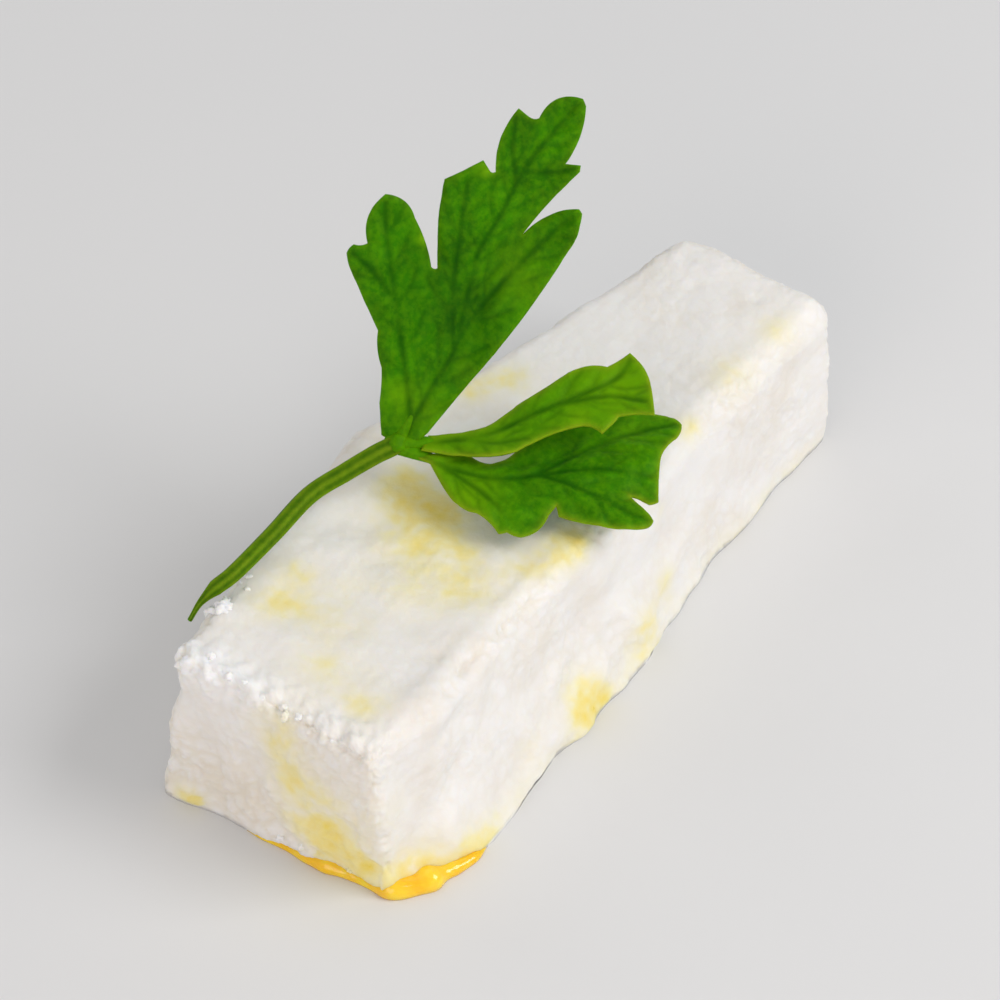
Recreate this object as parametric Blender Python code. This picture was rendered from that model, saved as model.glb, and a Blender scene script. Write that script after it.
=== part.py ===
"""A block of brined white cheese with a sprig of parsley lying on it.

Run with: blender --background --python part.py
Units are metres and +Z is up. The block lies flat, and the origin is the middle of its foot.
+X runs along the block from its broad end to its narrow end, and -Y is its front.
"""

import math

import bmesh
import bpy
import numpy as np
from mathutils import Vector, noise
from mathutils.geometry import delaunay_2d_cdt

MM = 0.001

# The block as a plain box, before its sides are drawn out
BLOCK_LENGTH = 69.0 * MM
BLOCK_WIDTH = 22.0 * MM
BLOCK_HEIGHT = 17.0 * MM
BLOCK_CELL = 1.5 * MM
FOOT_RADIUS = 0.8 * MM
# The crest's rounding at the broad end, and at the narrow end that handling wore down
CREST_RADIUS = 1.7 * MM
WORN_RADIUS = 2.8 * MM

# The block's plan in millimetres: x, then y of the back and the front at the top,
# and y of the back and the front at the foot. The back steps in behind the sprig,
# and the front runs out into a broken foot.
PLAN = (
    (-34.0, 10.2, -11.3, 11.2, -11.9),
    (-29.0, 10.5, -11.4, 11.8, -13.0),
    (-23.5, 11.2, -11.5, 12.4, -16.2),
    (-15.0, 11.7, -11.6, 12.9, -15.4),
    (-8.5, 12.2, -11.7, 13.4, -14.3),
    (-1.0, 13.8, -11.8, 14.4, -14.8),
    (3.5, 11.6, -11.7, 12.6, -15.0),
    (8.0, 10.0, -11.6, 10.8, -13.6),
    (15.0, 8.5, -11.4, 9.2, -12.6),
    (25.0, 6.3, -11.6, 6.9, -12.0),
    (37.0, 4.1, -12.3, 4.6, -11.9),
)
PLAN_SMOOTHING = 2.0 * MM

# x of the two ends in millimetres: front and back corner at the foot, then at the top
BROAD_END = ((-31.8, -32.9), (-33.4, -32.2))
NARROW_END = ((35.9, 36.3), (36.7, 37.2))

# How the foot spreads: the share of the spread that is left at a height, as a power
FOOT_SPREAD = 2.2

# Relief of the broken cheese: size of the shapes, and how far they stand in or out
LUMP_SIZE = 9.0 * MM
LUMP_DEPTH = 0.45 * MM
CURD_SIZE = 3.4 * MM
CURD_DEPTH = 0.55 * MM
# The knife left the top smoother: its share of that relief, and the height over which it fades in
TOP_CURD_SHARE = 0.40
TOP_FADE = 4.0 * MM
CHIP_SIZE = 6.5 * MM
CHIP_START = 0.10
CHIP_DEPTH = 1.0 * MM
FOOT_CRAG_DEPTH = 1.2 * MM
FOOT_CRAG_SIZE = 4.6 * MM
FOOT_CRAG_REACH = 7.0 * MM
# The narrow half is straighter: where that starts, over what length, and the relief it keeps
CALM_START = 4.0 * MM
CALM_LENGTH = 12.0 * MM
CALM_SHARE = 0.45
FLAT_FOOT = 0.9 * MM
# No dent goes deeper than this, so that the rounded crests don't fold over
DEEPEST = 0.65 * MM

# Where each kind of relief reads the noise, in units of its own size
CURD_SHIFT = Vector((7.0, 3.0, 5.0))
CHIP_SHIFT = Vector((1.5, 9.0, 2.0))
CRAG_SHIFT = Vector((4.0, 4.0, 8.0))

# Dents and lumps that have a place of their own, in millimetres: centre, radius, and how
# far the surface is moved outwards there. The fade sets how fast that move dies out.
MARK_FADE = 2.0
MARKS = (
    ((-33.0, -4.0, 16.5), 3.2, -0.7),
    ((-32.5, 7.5, 17.0), 2.6, 0.6),
    ((-30.5, -11.0, 16.0), 3.0, -0.5),
    ((-24.0, -11.5, 16.5), 3.5, 0.5),
    ((-12.0, -12.0, 16.0), 3.0, -0.5),
    ((-5.0, -12.5, 8.0), 4.0, -0.6),
    ((3.0, -13.5, 4.5), 3.0, 0.9),
    ((10.0, -12.0, 9.0), 5.0, -0.5),
    ((22.0, -11.5, 14.0), 4.0, 0.4),
    ((-18.0, 3.0, 17.0), 6.0, -0.35),
    ((12.0, -3.0, 17.0), 7.0, -0.3),
)

# The stem's middle line in millimetres, from the cut end behind the block to the fork
STEM_LINE = (
    (-26.3, 12.4, 14.6),
    (-25.7, 11.7, 16.5),
    (-24.6, 10.9, 17.8),
    (-22.8, 10.2, 18.5),
    (-17.6, 10.0, 18.9),
    (-12.4, 9.9, 19.4),
    (-9.0, 8.5, 20.2),
    (-6.6, 7.2, 21.0),
    (-4.9, 6.2, 21.5),
    (-4.2, 6.0, 22.3),
)
STEM_RADII = (0.62 * MM, 0.92 * MM)
STEM_SIDES = 8
STEM_STEPS = 2
RIB_RADII = (0.70 * MM, 0.32 * MM)
RIB_LENGTH = 9.0 * MM
RIB_DROP = 0.3 * MM
RIB_SHARES = (0.0, 0.25, 0.5, 0.75, 1.0)

LEAF_THICKNESS = 0.5 * MM
LEAF_STEP = 1.25 * MM
# Inner points of a leaf keep this share of a step away from its edge
LEAF_MARGIN = 0.55
# The edge is sampled this many times finer where that margin is measured
EDGE_FINENESS = 4
SLOPE_STEP = 0.05 * MM
FORK = (-4.9, 6.2, 21.4)

# Leaflet outlines in millimetres, drawn anticlockwise: across and along the midrib, and how
# far the edge bows out on its way to the next corner, as a share of that way
UPRIGHT_OUTLINE = (
    (1.2, 0.7, 0.00), (1.9, 2.4, 0.00), (4.0, 12.6, 0.02), (5.2, 22.1, 0.08), (4.8, 25.6, 0.00),
    (4.4, 25.8, 0.06), (2.5, 24.0, 0.05), (1.2, 21.4, -0.02), (3.0, 28.5, 0.00), (2.8, 29.0, 0.00),
    (1.6, 28.4, 0.08), (0.9, 33.4, 0.00), (0.4, 33.8, 0.22), (-2.1, 30.7, -0.15), (-2.9, 30.4, 0.00),
    (-4.0, 30.6, 0.10), (-3.2, 25.1, -0.20), (-3.7, 25.0, 0.00), (-4.6, 25.6, 0.00), (-6.7, 22.8, 0.03),
    (-3.8, 15.5, -0.25), (-4.3, 15.3, 0.04), (-7.4, 18.5, 0.16), (-10.5, 19.4, 0.16), (-9.9, 15.1, -0.10),
    (-10.9, 14.5, 0.10), (-11.1, 13.6, 0.06), (-9.3, 11.7, 0.00), (-5.8, 8.7, 0.06), (-4.1, 5.9, -0.02),
    (-2.9, 2.9, 0.00), (-1.5, 0.3, 0.05),
)
RAISED_OUTLINE = (
    (0.9, 2.2, 0.02), (1.7, 5.8, 0.04), (2.2, 8.2, 0.05), (1.8, 10.4, -0.06), (-0.5, 16.0, -0.10),
    (0.4, 17.6, 0.04), (-1.2, 19.0, -0.03), (-1.1, 22.1, 0.02), (-4.2, 21.7, 0.10), (-7.2, 20.0, -0.02),
    (-5.9, 18.1, 0.08), (-5.3, 14.8, -0.02), (-2.7, 10.3, -0.04), (-0.9, 7.7, -0.04), (-0.5, 2.8, 0.00),
)
LYING_OUTLINE = (
    (0.4, 1.6, 0.00), (0.7, 3.4, 0.02), (3.3, 6.5, 0.06), (4.0, 8.9, -0.06), (4.9, 11.2, 0.05),
    (4.5, 11.8, 0.05), (4.4, 13.0, 0.14), (1.7, 14.5, 0.00), (0.7, 14.8, 0.00), (1.5, 15.3, 0.02),
    (0.9, 18.8, 0.05), (-0.2, 22.1, 0.15), (-1.4, 22.7, 0.05), (-2.9, 20.0, -0.10), (-3.0, 21.7, 0.05),
    (-3.6, 22.3, -0.02), (-7.4, 21.1, -0.08), (-10.0, 21.5, 0.08), (-11.7, 21.4, 0.12), (-12.2, 19.5, 0.00),
    (-11.2, 15.2, 0.05), (-7.1, 11.5, 0.05), (-3.4, 9.6, -0.10), (-1.2, 8.2, -0.12), (-1.3, 6.1, 0.00),
)

# How each leaflet stands: the directions of its midrib and its turn about it in degrees, and
# in millimetres its lift above the fork, its length, how far its tip droops and its ripples.
# fold is how steeply its halves rise from the midrib.
LEAFLETS = (
    dict(outline=UPRIGHT_OUTLINE, heading=-18, climb=56, roll=-37, lift=-0.1, length=34.0,
         droop=3.0, fold=0.16, ripple=0.5, wave=15.0, phase=0.6),
    dict(outline=RAISED_OUTLINE, heading=-59, climb=9, roll=-15, lift=0.2, length=23.0,
         droop=0.6, fold=0.10, ripple=0.4, wave=11.0, phase=2.0),
    dict(outline=LYING_OUTLINE, heading=-77, climb=-2, roll=-13, lift=-0.1, length=24.0,
         droop=2.4, fold=-0.10, ripple=0.4, wave=12.0, phase=1.0),
)
RIPPLE_START = 4.0 * MM
RIPPLE_SLANT = 500.0
FOLD_WIDTH = 1.0 * MM

CHEESE_COLOUR = (0.85, 0.82, 0.76, 1.0)
PARSLEY_COLOUR = (0.032, 0.150, 0.004, 1.0)


def clear_scene():
    """Removes every object that the scene holds."""
    for old in list(bpy.data.objects):
        bpy.data.objects.remove(old, do_unlink=True)


def principled(name, colour, roughness):
    """A plain Principled material."""
    material = bpy.data.materials.new(name)
    material.use_nodes = True
    shader = material.node_tree.nodes["Principled BSDF"]
    shader.inputs["Base Color"].default_value = colour
    shader.inputs["Roughness"].default_value = roughness
    shader.inputs["Metallic"].default_value = 0.0
    return material


def add_object(name, points, faces, material):
    """An object of its own from points in metres and faces."""
    mesh = bpy.data.meshes.new(name)
    mesh.from_pydata([tuple(point) for point in points], [], faces)
    mesh.materials.append(material)
    mesh.shade_smooth()
    mesh.update()
    piece = bpy.data.objects.new(name, mesh)
    bpy.context.scene.collection.objects.link(piece)
    return piece


def box_shell(counts):
    """Grid corners and outward faces of a box with this many cells each way."""
    corners = {}
    faces = []
    for axis in range(3):
        first = (axis + 1) % 3
        second = (axis + 2) % 3
        for side in (0, counts[axis]):
            for i in range(counts[first]):
                for j in range(counts[second]):
                    face = []
                    for step_i, step_j in ((0, 0), (1, 0), (1, 1), (0, 1)):
                        corner = [0, 0, 0]
                        corner[axis] = side
                        corner[first] = i + step_i
                        corner[second] = j + step_j
                        face.append(corners.setdefault(tuple(corner), len(corners)))
                    faces.append(face if side else face[::-1])
    return np.array(list(corners), dtype=float), faces


def rounded(points):
    """Rounds the edges of the plain box, and says how near an edge each point is."""
    height = np.clip(points[:, 2] / BLOCK_HEIGHT, 0.0, 1.0)
    crest = between(CREST_RADIUS, WORN_RADIUS, points[:, 0] / BLOCK_LENGTH + 0.5)
    radius = between(FOOT_RADIUS, crest, height)
    core = points.copy()
    core[:, 0] = np.clip(points[:, 0], radius - BLOCK_LENGTH / 2, BLOCK_LENGTH / 2 - radius)
    core[:, 1] = np.clip(points[:, 1], radius - BLOCK_WIDTH / 2, BLOCK_WIDTH / 2 - radius)
    core[:, 2] = np.clip(points[:, 2], FOOT_RADIUS, BLOCK_HEIGHT - crest)
    out = points - core
    reach = np.linalg.norm(out, axis=1)
    ordered = np.sort(np.abs(out), axis=1)
    edge = ordered[:, 1] / ordered[:, 2]
    return core + out * (radius / reach)[:, None], edge


def plan_width(x, column):
    """Smoothed value of one column of the plan, in metres."""
    table = np.array(PLAN) * MM
    total = 2.0 * np.interp(x, table[:, 0], table[:, column])
    for shift in (-PLAN_SMOOTHING, PLAN_SMOOTHING):
        total = total + np.interp(x + shift, table[:, 0], table[:, column])
    return total / 4.0


def between(low, high, share):
    """Straight blend from low to high."""
    return low + (high - low) * share


def drawn_out(points):
    """Moves points of the plain box to the block's own plan."""
    height = points[:, 2] / BLOCK_HEIGHT
    depth = points[:, 1] / BLOCK_WIDTH + 0.5
    ends = []
    for foot, top in (np.array(BROAD_END) * MM, np.array(NARROW_END) * MM):
        ends.append(between(between(foot[0], foot[1], depth), between(top[0], top[1], depth), height))
    x = between(ends[0], ends[1], points[:, 0] / BLOCK_LENGTH + 0.5)
    spread = np.clip(1.0 - height, 0.0, 1.0) ** FOOT_SPREAD
    back = between(plan_width(x, 1), plan_width(x, 3), spread)
    front = between(plan_width(x, 2), plan_width(x, 4), spread)
    return np.column_stack([x, between(front, back, depth), points[:, 2]])


def relief(point, edge):
    """How far the broken surface stands out at a point, in metres."""
    spot = Vector(point)
    out = LUMP_DEPTH * noise.noise(spot / LUMP_SIZE)
    top = min(1.0, max(0.0, 1.0 - (BLOCK_HEIGHT - spot.z) / TOP_FADE))
    curd = between(1.0, TOP_CURD_SHARE, top)
    out += curd * CURD_DEPTH * noise.noise(spot / CURD_SIZE + CURD_SHIFT)
    chip = noise.noise(spot / CHIP_SIZE + CHIP_SHIFT)
    out -= CHIP_DEPTH * edge * max(0.0, chip - CHIP_START)
    low = max(0.0, 1.0 - spot.z / FOOT_CRAG_REACH)
    if spot.y < -BLOCK_WIDTH / 2:
        out += FOOT_CRAG_DEPTH * low * noise.noise(spot / FOOT_CRAG_SIZE + CRAG_SHIFT)
    calm = min(1.0, max(0.0, (spot.x - CALM_START) / CALM_LENGTH))
    out *= between(1.0, CALM_SHARE, calm)
    for centre, radius, move in MARKS:
        away = (spot - Vector(centre) * MM).length / (radius * MM)
        out += move * MM * math.exp(-MARK_FADE * away * away)
    return max(out, -DEEPEST)


def vertex_normals(points, faces):
    """Outward direction at each point of a closed mesh of four-sided faces."""
    normals = np.zeros_like(points)
    corners = np.array(faces)
    across = points[corners[:, 2]] - points[corners[:, 0]]
    along = points[corners[:, 3]] - points[corners[:, 1]]
    for column in range(4):
        np.add.at(normals, corners[:, column], np.cross(across, along))
    return normals / np.linalg.norm(normals, axis=1)[:, None]


def make_block(material):
    """The cheese block: a rounded box, drawn out to its plan and broken by relief."""
    counts = [round(size / BLOCK_CELL) for size in (BLOCK_LENGTH, BLOCK_WIDTH, BLOCK_HEIGHT)]
    grid, faces = box_shell(counts)
    size = np.array([BLOCK_LENGTH, BLOCK_WIDTH, BLOCK_HEIGHT])
    box = grid / counts * size - np.array([BLOCK_LENGTH / 2, BLOCK_WIDTH / 2, 0.0])
    smooth, edge = rounded(box)
    points = drawn_out(smooth)
    normals = vertex_normals(points, faces)
    for index, point in enumerate(points):
        if grid[index][2] == 0 and edge[index] == 0.0:
            continue
        raised = min(1.0, point[2] / FLAT_FOOT)
        move = relief(point, edge[index]) * normals[index]
        move[2] *= raised
        points[index] = point + move
    points[:, 2] = np.maximum(points[:, 2], 0.0)
    foot = grid[:, 2] == 0
    points[foot, 2] = 0.0
    triangles = split_faces(faces)
    return add_object("cheese_block", points, triangles, material)


def split_faces(faces):
    """Splits four-sided faces into triangles."""
    triangles = []
    for a, b, c, d in faces:
        triangles.append((a, b, c))
        triangles.append((a, c, d))
    return triangles


def smooth_line(points, steps):
    """Points on a smooth curve through the given ones, with steps between each two."""
    ends = [2 * points[0] - points[1]] + list(points) + [2 * points[-1] - points[-2]]
    line = []
    for i in range(1, len(ends) - 2):
        a, b, c, d = ends[i - 1:i + 3]
        for k in range(steps):
            t = k / steps
            line.append(0.5 * (2 * b + (c - a) * t + (2 * a - 5 * b + 4 * c - d) * t ** 2
                               + (3 * b - a - 3 * c + d) * t ** 3))
    line.append(points[-1])
    return line


def make_tube(name, line, radii, material):
    """A tapering round tube with closed ends along a line of points."""
    points = []
    faces = []
    side = Vector((0.0, 0.0, 1.0))
    for index, centre in enumerate(line):
        before = line[max(index - 1, 0)]
        after = line[min(index + 1, len(line) - 1)]
        way = (after - before).normalized()
        side = (side - side.dot(way) * way).normalized()
        other = way.cross(side)
        radius = between(radii[0], radii[1], index / (len(line) - 1))
        for k in range(STEM_SIDES):
            angle = 2.0 * math.pi * k / STEM_SIDES
            points.append(centre + radius * (math.cos(angle) * side + math.sin(angle) * other))
    for ring in range(len(line) - 1):
        for k in range(STEM_SIDES):
            here = ring * STEM_SIDES + k
            next_one = ring * STEM_SIDES + (k + 1) % STEM_SIDES
            faces.append((here, next_one, next_one + STEM_SIDES, here + STEM_SIDES))
    last = (len(line) - 1) * STEM_SIDES
    faces.append(tuple(range(STEM_SIDES))[::-1])
    faces.append(tuple(range(last, last + STEM_SIDES)))
    return add_object(name, points, faces, material)


def leaf_frame(leaf):
    """Directions of a leaflet: along its midrib, across it, and up from its face."""
    heading = math.radians(leaf["heading"])
    climb = math.radians(leaf["climb"])
    roll = math.radians(leaf["roll"])
    level = math.cos(climb)
    along = Vector((level * math.cos(heading), level * math.sin(heading), math.sin(climb)))
    side = along.cross(Vector((0.0, 0.0, 1.0))).normalized()
    across = math.cos(roll) * side + math.sin(roll) * side.cross(along)
    return along, across, across.cross(along)


def leaf_point(leaf, u, v):
    """Place in space of the point u across and v along a leaflet's middle surface."""
    along, across, up = leaf_frame(leaf)
    height = -leaf["droop"] * MM * (v / (leaf["length"] * MM)) ** 2
    height += leaf["fold"] * (math.hypot(u, FOLD_WIDTH) - FOLD_WIDTH)
    swing = math.sin(2.0 * math.pi * v / (leaf["wave"] * MM) + leaf["phase"] + RIPPLE_SLANT * u)
    height += leaf["ripple"] * MM * swing * min(1.0, abs(u) / RIPPLE_START)
    base = Vector(FORK) * MM + Vector((0.0, 0.0, leaf["lift"] * MM))
    return base + u * across + v * along + height * up


def edge_points(outline, step):
    """Points along a leaflet's outline, with each bowed stretch as an even arc."""
    points = []
    for index, (u, v, bow) in enumerate(outline):
        next_u, next_v, _ = outline[(index + 1) % len(outline)]
        start = np.array([u, v]) * MM
        way = np.array([next_u, next_v]) * MM - start
        outward = np.array([way[1], -way[0]])
        count = max(1, round(np.linalg.norm(way) / step))
        for k in range(count):
            t = k / count
            points.append(start + t * way + 4.0 * bow * t * (1.0 - t) * outward)
    return np.array(points)


def inner_points(edge, step):
    """A lattice of points that covers a leaflet, clear of its edge."""
    low = edge.min(axis=0)
    high = edge.max(axis=0)
    rise = step * math.sqrt(3.0) / 2.0
    points = []
    for row in range(int((high[1] - low[1]) / rise) + 1):
        shift = step / 2.0 if row % 2 else 0.0
        for column in range(int((high[0] - low[0]) / step) + 1):
            point = np.array([low[0] + shift + column * step, low[1] + row * rise])
            if np.linalg.norm(edge - point, axis=1).min() > LEAF_MARGIN * step:
                points.append(point)
    return points


def leaf_triangles(outline, step):
    """Flat triangles that fill a leaflet's outline."""
    edge = edge_points(outline, step)
    inner = inner_points(edge_points(outline, step / EDGE_FINENESS), step)
    flat = [Vector(point) for point in list(edge) + inner]
    loop = list(range(len(edge)))
    corners, _, triangles, _, _, _ = delaunay_2d_cdt(flat, [], [loop], 1, 1e-7)
    used = sorted({index for triangle in triangles for index in triangle})
    place = {old: new for new, old in enumerate(used)}
    return [corners[old] for old in used], [tuple(place[i] for i in triangle) for triangle in triangles]


def make_leaflet(name, leaf, material):
    """One leaflet: a thin wavy solid, with both faces split into triangles alike."""
    flat, triangles = leaf_triangles(leaf["outline"], LEAF_STEP)
    top = []
    bottom = []
    for u, v in flat:
        centre = leaf_point(leaf, u, v)
        slope_u = leaf_point(leaf, u + SLOPE_STEP, v) - centre
        slope_v = leaf_point(leaf, u, v + SLOPE_STEP) - centre
        half = slope_u.cross(slope_v).normalized() * LEAF_THICKNESS / 2.0
        top.append(centre + half)
        bottom.append(centre - half)
    count = len(flat)
    faces = list(triangles)
    sides = set()
    for a, b, c in triangles:
        faces.append((c + count, b + count, a + count))
        sides.update(((a, b), (b, c), (c, a)))
    for a, b in sorted(sides):
        if (b, a) not in sides:
            faces.append((a, a + count, b + count))
            faces.append((a, b + count, b))
    return add_object(name, top + bottom, faces, material)


def make_sprig(material):
    """The sprig: a stem and its three leaflets, fused into one solid."""
    line = smooth_line([Vector(point) * MM for point in STEM_LINE], STEM_STEPS)
    sprig = make_tube("parsley_sprig", line, STEM_RADII, material)
    parts = bpy.data.collections.new("sprig_parts")
    bpy.context.scene.collection.children.link(parts)
    for number, leaf in enumerate(LEAFLETS):
        leaflet = make_leaflet(f"leaflet_{number}", leaf, material)
        under = leaf_frame(leaf)[2] * RIB_DROP
        rib_line = [leaf_point(leaf, 0.0, share * RIB_LENGTH) - share * under for share in RIB_SHARES]
        rib = make_tube(f"rib_{number}", rib_line, RIB_RADII, material)
        for piece in (leaflet, rib):
            bpy.context.scene.collection.objects.unlink(piece)
            parts.objects.link(piece)
    fuse(sprig, parts)
    return sprig


def fuse(piece, parts):
    """Joins a collection's objects to a piece by one Boolean union, and removes them."""
    union = piece.modifiers.new("fuse", "BOOLEAN")
    union.operation = "UNION"
    union.operand_type = "COLLECTION"
    union.collection = parts
    union.solver = "EXACT"
    union.use_self = True
    bpy.context.view_layer.update()
    shape = bpy.data.meshes.new_from_object(piece.evaluated_get(bpy.context.evaluated_depsgraph_get()))
    piece.modifiers.clear()
    piece.data = shape
    for part in list(parts.objects):
        bpy.data.objects.remove(part, do_unlink=True)
    bpy.data.collections.remove(parts)
    work = bmesh.new()
    work.from_mesh(shape)
    bmesh.ops.triangulate(work, faces=work.faces)
    work.to_mesh(shape)
    work.free()


def main():
    clear_scene()
    cheese = principled("Cheese", CHEESE_COLOUR, 0.55)
    parsley = principled("Parsley", PARSLEY_COLOUR, 0.45)
    make_block(cheese)
    make_sprig(parsley)


main()
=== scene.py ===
"""Looks of the block of brined white cheese and the parsley sprig on it.

Everything stands in the part's own frame: metres, +Z up, the block's flat foot at z = 0,
+X along the block from its broad end and -Y its front. The forms repeat those of the part
with finer steps. Grain, veins, oil and crumbs are added to them as geometry.
"""

import math
import random

import bmesh
import bpy
import numpy as np
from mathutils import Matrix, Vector, kdtree, noise
from mathutils.geometry import delaunay_2d_cdt


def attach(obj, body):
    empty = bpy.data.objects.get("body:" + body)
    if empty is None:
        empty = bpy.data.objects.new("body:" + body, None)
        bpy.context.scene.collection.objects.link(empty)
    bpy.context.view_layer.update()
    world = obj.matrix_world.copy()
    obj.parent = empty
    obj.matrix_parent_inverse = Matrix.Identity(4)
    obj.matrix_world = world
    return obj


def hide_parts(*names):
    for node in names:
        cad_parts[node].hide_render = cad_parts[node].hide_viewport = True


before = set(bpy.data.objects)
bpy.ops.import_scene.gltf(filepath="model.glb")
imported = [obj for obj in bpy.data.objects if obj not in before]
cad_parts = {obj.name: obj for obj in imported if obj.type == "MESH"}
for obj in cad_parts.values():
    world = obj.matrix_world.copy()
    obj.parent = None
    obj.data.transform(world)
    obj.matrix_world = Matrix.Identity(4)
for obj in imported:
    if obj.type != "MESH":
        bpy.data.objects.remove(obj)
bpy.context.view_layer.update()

MM = 0.001

# The block as a plain box, before its sides are drawn out
BLOCK_LENGTH = 69.0 * MM
BLOCK_WIDTH = 22.0 * MM
BLOCK_HEIGHT = 17.0 * MM
BLOCK_CELL = 0.25 * MM
FOOT_RADIUS = 0.8 * MM
CREST_RADIUS = 1.7 * MM
WORN_RADIUS = 2.8 * MM

# The block's plan in millimetres: x, then y of the back and the front at the top,
# and y of the back and the front at the foot
PLAN = (
    (-34.0, 10.2, -11.3, 11.2, -11.9),
    (-29.0, 10.5, -11.4, 11.8, -13.0),
    (-23.5, 11.2, -11.5, 12.4, -16.2),
    (-15.0, 11.7, -11.6, 12.9, -15.4),
    (-8.5, 12.2, -11.7, 13.4, -14.3),
    (-1.0, 13.8, -11.8, 14.4, -14.8),
    (3.5, 11.6, -11.7, 12.6, -15.0),
    (8.0, 10.0, -11.6, 10.8, -13.6),
    (15.0, 8.5, -11.4, 9.2, -12.6),
    (25.0, 6.3, -11.6, 6.9, -12.0),
    (37.0, 4.1, -12.3, 4.6, -11.9),
)
PLAN_SMOOTHING = 2.0 * MM

# x of the two ends in millimetres: front and back corner at the foot, then at the top
BROAD_END = ((-31.8, -32.9), (-33.4, -32.2))
NARROW_END = ((35.9, 36.3), (36.7, 37.2))
FOOT_SPREAD = 2.2

# Relief of the broken cheese, as in the part
LUMP_SIZE = 9.0 * MM
LUMP_DEPTH = 0.45 * MM
CURD_SIZE = 3.4 * MM
CURD_DEPTH = 0.55 * MM
TOP_CURD_SHARE = 0.40
TOP_FADE = 4.0 * MM
CHIP_SIZE = 6.5 * MM
CHIP_START = 0.10
CHIP_DEPTH = 1.0 * MM
FOOT_CRAG_DEPTH = 1.2 * MM
FOOT_CRAG_SIZE = 4.6 * MM
FOOT_CRAG_REACH = 7.0 * MM
CALM_START = 4.0 * MM
CALM_LENGTH = 12.0 * MM
CALM_SHARE = 0.45
FLAT_FOOT = 0.9 * MM
DEEPEST = 0.65 * MM
CURD_SHIFT = Vector((7.0, 3.0, 5.0))
CHIP_SHIFT = Vector((1.5, 9.0, 2.0))
CRAG_SHIFT = Vector((4.0, 4.0, 8.0))
MARK_FADE = 2.0
MARKS = (
    ((-33.0, -4.0, 16.5), 3.2, -0.7),
    ((-32.5, 7.5, 17.0), 2.6, 0.6),
    ((-30.5, -11.0, 16.0), 3.0, -0.5),
    ((-24.0, -11.5, 16.5), 3.5, 0.5),
    ((-12.0, -12.0, 16.0), 3.0, -0.5),
    ((-5.0, -12.5, 8.0), 4.0, -0.6),
    ((3.0, -13.5, 4.5), 3.0, 0.9),
    ((10.0, -12.0, 9.0), 5.0, -0.5),
    ((22.0, -11.5, 14.0), 4.0, 0.4),
    ((-18.0, 3.0, 17.0), 6.0, -0.35),
    ((12.0, -3.0, 17.0), 7.0, -0.3),
)

# Grain that the looks add: curds with creases between them, pits, and marks of the knife
GRAIN_SIZE = 1.5 * MM
GRAIN_DEPTH = 0.12 * MM
FINE_GRAIN_SIZE = 0.75 * MM
FINE_GRAIN_DEPTH = 0.07 * MM
CREASE_WIDTH = 0.35
CREASE_BEND = 0.4 * MM
BEND_SHIFTS = (Vector((2.0, 17.0, 5.0)), Vector((13.0, 1.0, 9.0)), Vector((6.0, 8.0, 21.0)))
COARSE_CREASE = 0.7
FINE_CREASE = 0.3
ROUGH_SIZE = 2.2 * MM
ROUGH_DEPTH = 0.18 * MM
PATCH_SIZE = 8.0 * MM
PATCH_MIDDLE = 0.85
PATCH_SWING = 0.9
PATCH_RANGE = (0.15, 1.3)
PIT_SIZE = 3.0 * MM
PIT_REACH = 0.42
PIT_DEPTH = 0.45 * MM
PIT_DRAW = 7.0
PIT_RARITY = 0.35
KNIFE_LENGTH = 9.0 * MM
KNIFE_WIDTH = 0.8 * MM
KNIFE_DEPTH = 0.10 * MM
CUT_DEPTH = 0.04 * MM

# Fractal noise of the rough curds, the ragged crest and the leaflets' wrinkles: how fast its
# octaves weaken, how much finer each one is, and how many there are
ROUGH_FRACTAL = (0.8, 2.0, 4)
RAGGED_FRACTAL = (0.7, 2.0, 4)
WRINKLE_FRACTAL = (0.9, 2.0, 3)

# The broad end's crest broke off ragged
RAGGED_X = -32.0 * MM
RAGGED_HEIGHT = 16.8 * MM
RAGGED_REACH = 2.6 * MM
RAGGED_SIZE = 1.5 * MM
RAGGED_DEPTH = 0.54 * MM

# Painted highlight: whiter, cooler curd on the broad end's ragged crest, most at its back, less so towards
# the front corner, and on the crumbs
HIGHLIGHT_START = -6.0 * MM
HIGHLIGHT_LENGTH = 12.0 * MM
HIGHLIGHT_LEAST = 0.25
CRUMB_HIGHLIGHT = 0.60

# How crumbly each side is: the top and the front were cut, the ends were broken
SIDE_CRUMBLE = dict(end=1.0, front=0.42, top=0.32)
EDGE_CRUMBLE = 0.55

# Share of the light that scatters inside the cheese, and how far it gets in block and crumbs
CHEESE_GLOW = 0.30
CHEESE_GLOW_DEPTH = 1.6 * MM
CRUMB_GLOW_DEPTH = 0.25 * MM

# Colours of the cheese, from bare to soaked in oil, and of the oil itself
CREAM_CURD = (0.800, 0.766, 0.718)
WHITE_CURD = (0.850, 0.838, 0.824)
# Painted highlight: the white painted on the crest and the crumbs
PAINTED_HIGHLIGHT_CURD = (0.925, 0.945, 0.970)
# Darker cream in the creases: partly liquid in them, partly painted shade
CREASE_SHADE_CREAM = (0.740, 0.665, 0.520)
FILMED_CURD = (0.850, 0.830, 0.760)
OILY_CURD = (0.860, 0.790, 0.440)
SOAKED_CURD = (0.860, 0.670, 0.090)
THICK_OIL = (0.980, 0.530, 0.004)
THIN_OIL = (1.000, 0.670, 0.025)

# Greens of the parsley: deep, fresh and pale, then the rim of a leaflet
STEM_GREENS = ((0.014, 0.085, 0.001), (0.065, 0.190, 0.001), (0.230, 0.330, 0.010))
LEAF_GREENS = ((0.005, 0.072, 0.000), (0.034, 0.230, 0.000), (0.150, 0.365, 0.001))
RIM_GREEN = (0.260, 0.350, 0.010)

# How far the creases, the veins and the leaflets' fine cells show as a colour, and the range
# of the factor that breaks the oil up
CREASE_SHARE = 0.50
VEIN_SHARE = 0.85
CELL_SHARE = 0.25
OIL_BREAKUP = (0.70, 1.30)

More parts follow.
